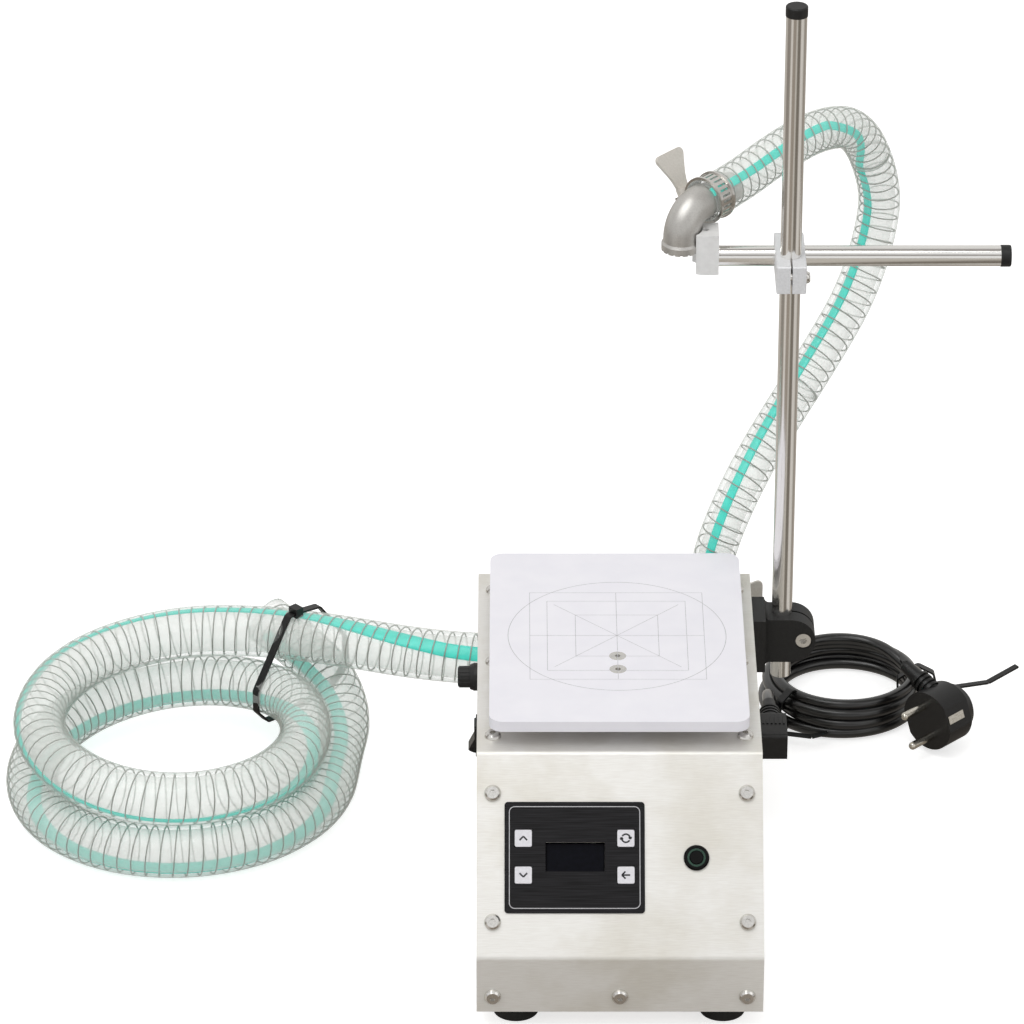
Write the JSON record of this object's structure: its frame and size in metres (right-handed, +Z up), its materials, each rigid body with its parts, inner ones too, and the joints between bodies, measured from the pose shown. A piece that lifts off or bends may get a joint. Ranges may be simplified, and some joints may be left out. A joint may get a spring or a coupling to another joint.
{
  "type": "honey filling machine",
  "caption": "Table-top honey filler: sloped cabinet with weighing plate and gear pump, coiled suction hose, and delivery hose to a cast nozzle on an adjustable stand.",
  "frame": {"origin": "under the middle of the rigid pieces' bounding box, on the table plane", "axes": "+Z up along the pole, +X to the operator's right, +Y to the rear; the sloping panel faces -Y"},
  "size_m": [0.607, 0.4197, 0.514],
  "materials": {
    "brushed_cabinet": "brushed stainless sheet",
    "bright_screw": "bright stainless fasteners",
    "foot_rubber": "black rubber",
    "label_black": "black satin overlay",
    "key_white": "white satin",
    "board": "circuit board",
    "bezel_black": "gloss black",
    "ring_green": "translucent green",
    "switch_black": "satin black",
    "inlet_black": "moulded black",
    "cell_aluminium": "machined",
    "plate_white": "white acetal plate with a printed grid",
    "supply_case": "plain aluminium",
    "motor_steel": "black painted",
    "pump_steel": "machined stainless",
    "gear_steel": "cut steel",
    "fitting_steel": "turned stainless",
    "clamp_band": "rolled stainless band",
    "wing_metal": "matte grey cast zinc",
    "bracket_black": "moulded glass-filled nylon",
    "tube_bright": "polished stainless tube",
    "cap_black": "black plastic",
    "clamp_aluminium": "milled aluminium",
    "holder_white": "white plastic",
    "elbow_cast": "bead-blasted cast stainless",
    "hose_pvc": "clear PVC with a steel helix",
    "cord_black": "black PVC",
    "pin_nickel": "nickel plated brass",
    "tie_black": "black nylon"
  },
  "bodies": {
    "cabinet": {"cover": "brushed_cabinet", "chassis": "brushed_cabinet", "rear_panel": "brushed_cabinet", "case_screws": "bright_screw", "feet": "foot_rubber", "label": "label_black", "control_board": "board", "button_body": "bezel_black", "button_ring": "ring_green", "switch_frame": "switch_black", "fuse_holder": "switch_black", "mains_inlet": "inlet_black", "load_cell": "cell_aluminium", "cell_spacers": "cell_aluminium", "weighing_plate": "plate_white", "countersunk_screws": "bright_screw", "inner_screws": "bright_screw", "power_supply": "supply_case", "gear_motor": "motor_steel", "pump_body": "pump_steel", "pump_cover": "pump_steel", "socket_screws": "bright_screw", "suction_fitting": "fitting_steel", "delivery_fitting": "fitting_steel", "pole_bracket": "bracket_black", "suction_clamp_band": "clamp_band", "delivery_clamp_band": "clamp_band", "suction_hose_run": "hose_pvc", "suction_hose_coil": "hose_pvc", "delivery_hose_lower": "hose_pvc", "mains_connector": "cord_black", "mains_lead": "cord_black", "mains_lead_coil": "cord_black", "plug_pins": "pin_nickel", "mains_plug": "cord_black", "cable_ties": "tie_black"},
    "pole": {"pole": "tube_bright", "pole_cap": "cap_black", "delivery_hose_middle": "hose_pvc"},
    "cross_clamp": {"cross_clamp": "clamp_aluminium", "cross_clamp_screw": "bright_screw"},
    "arm": {"arm_tube": "tube_bright", "arm_cap": "cap_black", "nozzle_holder": "holder_white", "holder_screw": "bright_screw", "nozzle_elbow": "elbow_cast", "nozzle_clamp_band": "clamp_band", "delivery_hose_upper": "hose_pvc"},
    "key_up": {"key_up": "key_white"},
    "key_down": {"key_down": "key_white"},
    "key_cycle": {"key_cycle": "key_white"},
    "key_back": {"key_back": "key_white"},
    "button_cap": {"button_cap": "bezel_black"},
    "switch_rocker": {"switch_rocker": "switch_black"},
    "fuse_cap": {"fuse_cap": "switch_black"},
    "suction_clamp_key": {"suction_clamp_key": "wing_metal"},
    "delivery_clamp_key": {"delivery_clamp_key": "wing_metal"},
    "nozzle_clamp_key": {"nozzle_clamp_key": "wing_metal"},
    "drive_gear": {"drive_gear": "gear_steel"},
    "driven_gear": {"driven_gear": "gear_steel"}
  },
  "joints": [
    {"name": "pole_turn", "type": "hinge", "parent": "cabinet", "child": "pole", "pos_m": [0.03177, 0.09045, 0.114], "axis": [0, 0, 1], "range_deg": [-25, 25], "deforming": ["delivery_hose_lower"]},
    {"name": "arm_height", "type": "slide", "parent": "pole", "child": "cross_clamp", "axis": [0, 0, 1], "range_m": [-0.06, 0.03], "deforming": ["delivery_hose_middle"]},
    {"name": "arm_reach", "type": "slide", "parent": "cross_clamp", "child": "arm", "axis": [1, 0, 0], "range_m": [-0.045, 0.03], "deforming": ["delivery_hose_upper"]},
    {"name": "key_up_press", "type": "slide", "parent": "cabinet", "child": "key_up", "axis": [0, 0.7647, -0.6444], "range_m": [0, 0.0005], "stiffness_N_per_m": 800, "springref_m": -0.0003},
    {"name": "key_down_press", "type": "slide", "parent": "cabinet", "child": "key_down", "axis": [0, 0.7647, -0.6444], "range_m": [0, 0.0005], "stiffness_N_per_m": 800, "springref_m": -0.0003},
    {"name": "key_cycle_press", "type": "slide", "parent": "cabinet", "child": "key_cycle", "axis": [0, 0.7647, -0.6444], "range_m": [0, 0.0005], "stiffness_N_per_m": 800, "springref_m": -0.0003},
    {"name": "key_back_press", "type": "slide", "parent": "cabinet", "child": "key_back", "axis": [0, 0.7647, -0.6444], "range_m": [0, 0.0005], "stiffness_N_per_m": 800, "springref_m": -0.0003},
    {"name": "button_press", "type": "slide", "parent": "cabinet", "child": "button_cap", "axis": [0, 0.7647, -0.6444], "range_m": [0, 0.0015], "stiffness_N_per_m": 300, "springref_m": -0.001},
    {"name": "rocker_tilt", "type": "hinge", "parent": "cabinet", "child": "switch_rocker", "pos_m": [-0.14622, 0.07945, 0.05], "axis": [0, -1, 0], "range_deg": [0, 24]},
    {"name": "fuse_cap_turn", "type": "hinge", "parent": "cabinet", "child": "fuse_cap", "pos_m": [-0.14622, 0.07945, 0.09], "axis": [-1, 0, 0], "range_deg": [0, 90]},
    {"name": "suction_clamp_key_turn", "type": "hinge", "parent": "cabinet", "child": "suction_clamp_key", "pos_m": [-0.11323, 0.1581, 0.068], "axis": [0, 0, 1], "continuous": true},
    {"name": "delivery_clamp_key_turn", "type": "hinge", "parent": "cabinet", "child": "delivery_clamp_key", "pos_m": [-0.00923, 0.1551, 0.101], "axis": [1, 0, 0], "continuous": true},
    {"name": "nozzle_clamp_key_turn", "type": "hinge", "parent": "arm", "child": "nozzle_clamp_key", "pos_m": [-0.02478, 0.13519, 0.37054], "axis": [-0.3887, 0.3379, 0.8572], "continuous": true},
    {"name": "drive_gear_spin", "type": "hinge", "parent": "cabinet", "child": "drive_gear", "pos_m": [-0.06623, 0.1375, 0.08], "axis": [0, 1, 0], "continuous": true},
    {"name": "driven_gear_spin", "type": "hinge", "parent": "cabinet", "child": "driven_gear", "pos_m": [-0.06623, 0.1375, 0.056], "axis": [0, 1, 0], "continuous": true}
  ],
  "couplings": [
    {"joint": "driven_gear_spin", "follows": "drive_gear_spin", "ratio": -1}
  ]
}
